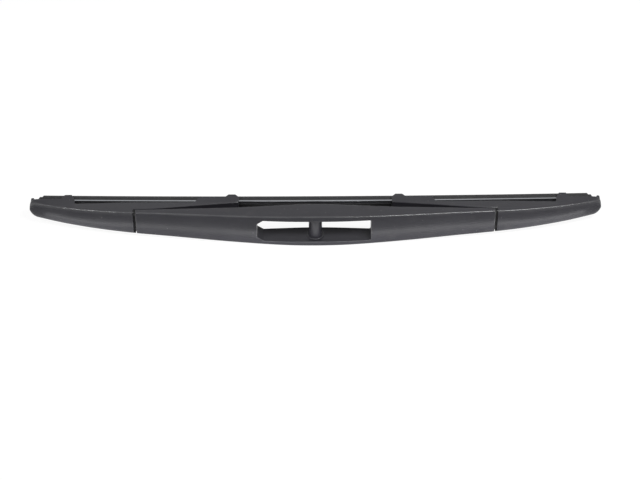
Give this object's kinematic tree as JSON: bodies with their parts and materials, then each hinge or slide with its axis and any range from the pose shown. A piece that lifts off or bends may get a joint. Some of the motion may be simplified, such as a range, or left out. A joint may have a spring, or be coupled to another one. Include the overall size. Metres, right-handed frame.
{
  "type": "wiper blade",
  "caption": "Long moulded bridge with a cross pin in its window, rocking end yokes with claws, and a slim rubber squeegee on sprung steel strips.",
  "frame": {"origin": "centre of the cross pin that the wiper arm holds", "axes": "+X along the blade, +Y towards the glass, +Z along the cross pin, out of the side that faces up while the blade lies on its side"},
  "size_m": [0.305, 0.0317, 0.0198],
  "materials": {
    "moulded_plastic": "fine-grained black moulding, satin",
    "wiper_rubber": "smooth black rubber, matt",
    "spring_steel": "rolled strip, satin"
  },
  "bodies": {
    "bridge": {"bridge": "moulded_plastic", "arm_pin": "moulded_plastic", "squeegee": "wiper_rubber", "upper_strip": "spring_steel", "lower_strip": "spring_steel"},
    "left_yoke": {"left_yoke": "moulded_plastic"},
    "right_yoke": {"right_yoke": "moulded_plastic"}
  },
  "joints": [
    {"name": "left_pivot", "type": "hinge", "parent": "bridge", "child": "left_yoke", "pos_m": [-0.0885, 0.0086, 0], "axis": [0, 0, 1], "range_deg": [-3, 3], "stiffness_Nm_per_rad": 0.9, "deforming": ["squeegee", "upper_strip", "lower_strip"]},
    {"name": "right_pivot", "type": "hinge", "parent": "bridge", "child": "right_yoke", "pos_m": [0.0885, 0.0086, 0], "axis": [0, 0, 1], "range_deg": [-3, 3], "stiffness_Nm_per_rad": 0.9, "deforming": ["squeegee", "upper_strip", "lower_strip"]}
  ]
}
